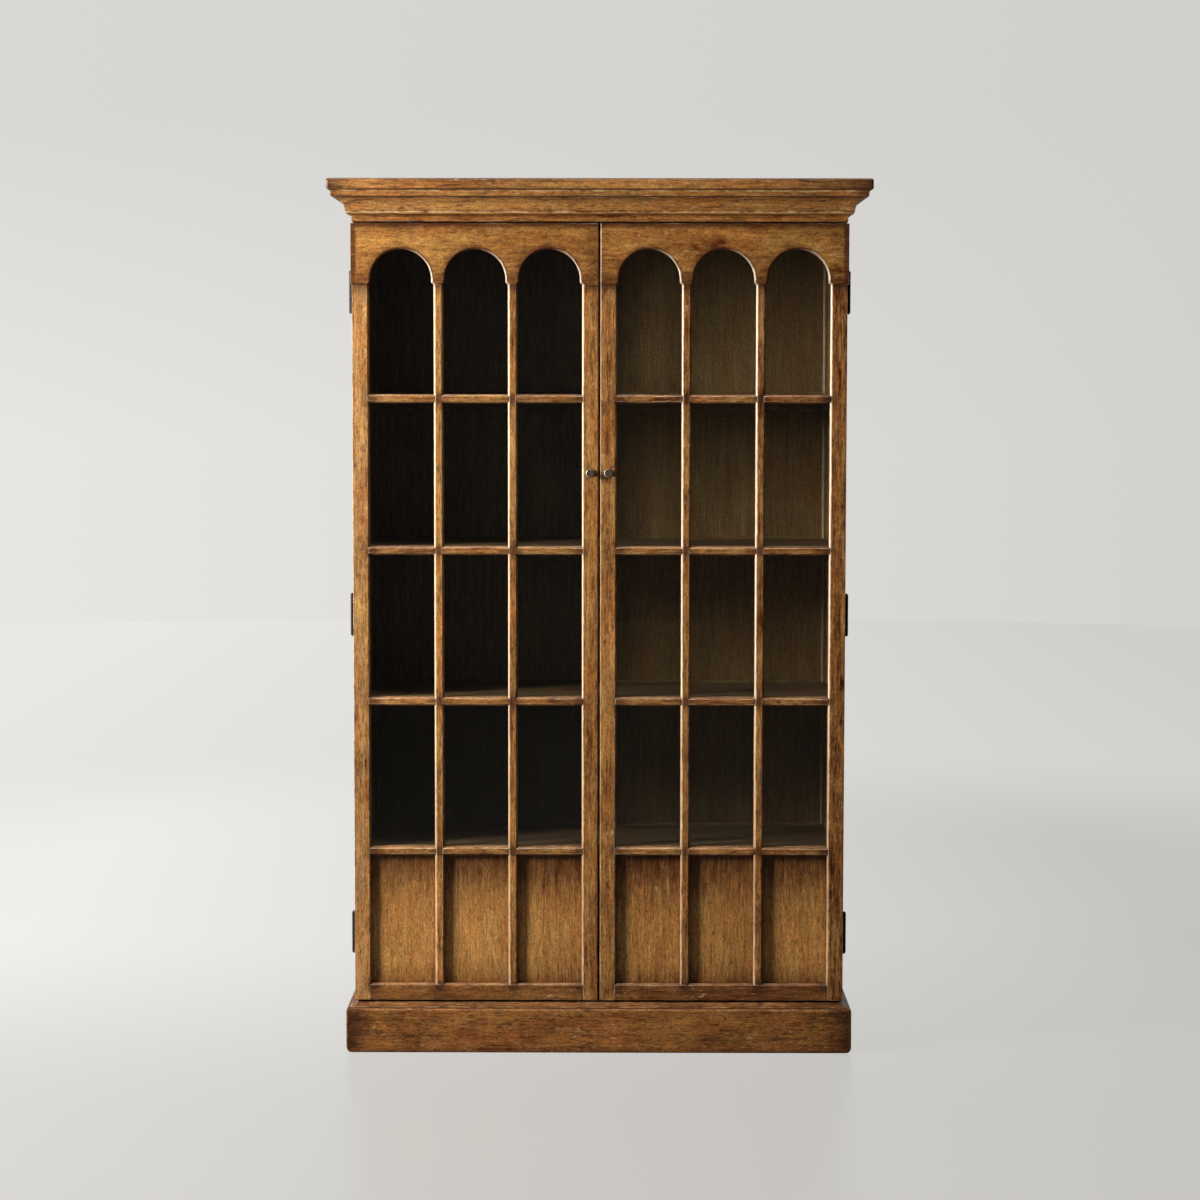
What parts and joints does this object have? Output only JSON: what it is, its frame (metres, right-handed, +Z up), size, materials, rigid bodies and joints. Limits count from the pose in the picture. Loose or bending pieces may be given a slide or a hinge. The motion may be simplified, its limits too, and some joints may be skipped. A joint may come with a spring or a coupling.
{
  "type": "glazed_display_cabinet",
  "caption": "Tall free-standing wooden display cabinet with a pair of glazed arch-headed doors over panelled feet, shelves, moulded cornice and plinth.",
  "frame": {"origin": "floor level, under the middle of the cornice slab, which is the widest and deepest member (bounding-box bottom centre)", "axes": "+Z up and the height; +Y from the front to the back and the depth, front of the doors facing -Y; +X to the right as seen from the front"},
  "size_m": [1.354, 0.457, 2.2],
  "materials": {
    "honey_wood": "aged hardwood under worn wax, honey brown with dark patina at the joints",
    "panel_wood": "aged hardwood under worn wax, vertical grain, lighter in the middle",
    "carcass_wood": "aged hardwood under worn wax, darker brown",
    "inner_wood": "old unpolished wood, dull olive brown",
    "clear_glass": "thin clear window glass",
    "dark_iron": "blackened iron, dull",
    "aged_bronze": "dark bronze with a worn rim",
    "screw_steel": "dull steel, browned with age",
    "magnet_metal": "plated magnet face, dull"
  },
  "bodies": {
    "carcass": {"back_panels": "inner_wood", "back_rails": "inner_wood", "back_stiles": "inner_wood", "base_rail": "carcass_wood", "bottom_board": "carcass_wood", "catch_magnets": "magnet_metal", "ceiling_board": "carcass_wood", "cornice_moulding_front": "honey_wood", "cornice_moulding_left": "honey_wood", "cornice_moulding_right": "honey_wood", "cornice_slab": "honey_wood", "frieze_board": "honey_wood", "hinge_frame_leaves_left": "dark_iron", "hinge_frame_leaves_right": "dark_iron", "hinge_frame_screws": "screw_steel", "hinge_pins": "dark_iron", "plinth_back": "carcass_wood", "plinth_cap_front": "honey_wood", "plinth_cap_left": "honey_wood", "plinth_cap_right": "honey_wood", "plinth_front": "honey_wood", "plinth_left": "honey_wood", "plinth_right": "honey_wood", "shelf_1": "inner_wood", "shelf_2": "inner_wood", "shelf_3": "inner_wood", "shelf_4": "inner_wood", "shelf_cleats": "inner_wood", "side_panel_left": "carcass_wood", "side_panel_right": "carcass_wood"},
    "left_door": {"left_door_arch_board": "honey_wood", "left_door_bottom_rail": "honey_wood", "left_door_catch_strike": "screw_steel", "left_door_glass_panes": "clear_glass", "left_door_glazing_beads": "honey_wood", "left_door_hinge_leaves": "dark_iron", "left_door_hinge_screws": "screw_steel", "left_door_hinge_stile": "honey_wood", "left_door_knob": "aged_bronze", "left_door_knob_screw": "screw_steel", "left_door_lower_panels": "panel_wood", "left_door_meeting_stile": "honey_wood", "left_door_mullions": "honey_wood", "left_door_muntins": "honey_wood"},
    "right_door": {"right_door_arch_board": "honey_wood", "right_door_bottom_rail": "honey_wood", "right_door_catch_strike": "screw_steel", "right_door_glass_panes": "clear_glass", "right_door_glazing_beads": "honey_wood", "right_door_hinge_leaves": "dark_iron", "right_door_hinge_screws": "screw_steel", "right_door_hinge_stile": "honey_wood", "right_door_knob": "aged_bronze", "right_door_knob_screw": "screw_steel", "right_door_lower_panels": "panel_wood", "right_door_meeting_stile": "honey_wood", "right_door_mullions": "honey_wood", "right_door_muntins": "honey_wood"}
  },
  "joints": [
    {"name": "left_door_hinge", "type": "hinge", "parent": "carcass", "child": "left_door", "pos_m": [-0.6238, -0.138, 1.1115], "axis": [0, 0, -1], "range_deg": [0, 180]},
    {"name": "right_door_hinge", "type": "hinge", "parent": "carcass", "child": "right_door", "pos_m": [0.6238, -0.138, 1.1115], "axis": [0, 0, 1], "range_deg": [0, 180]}
  ]
}
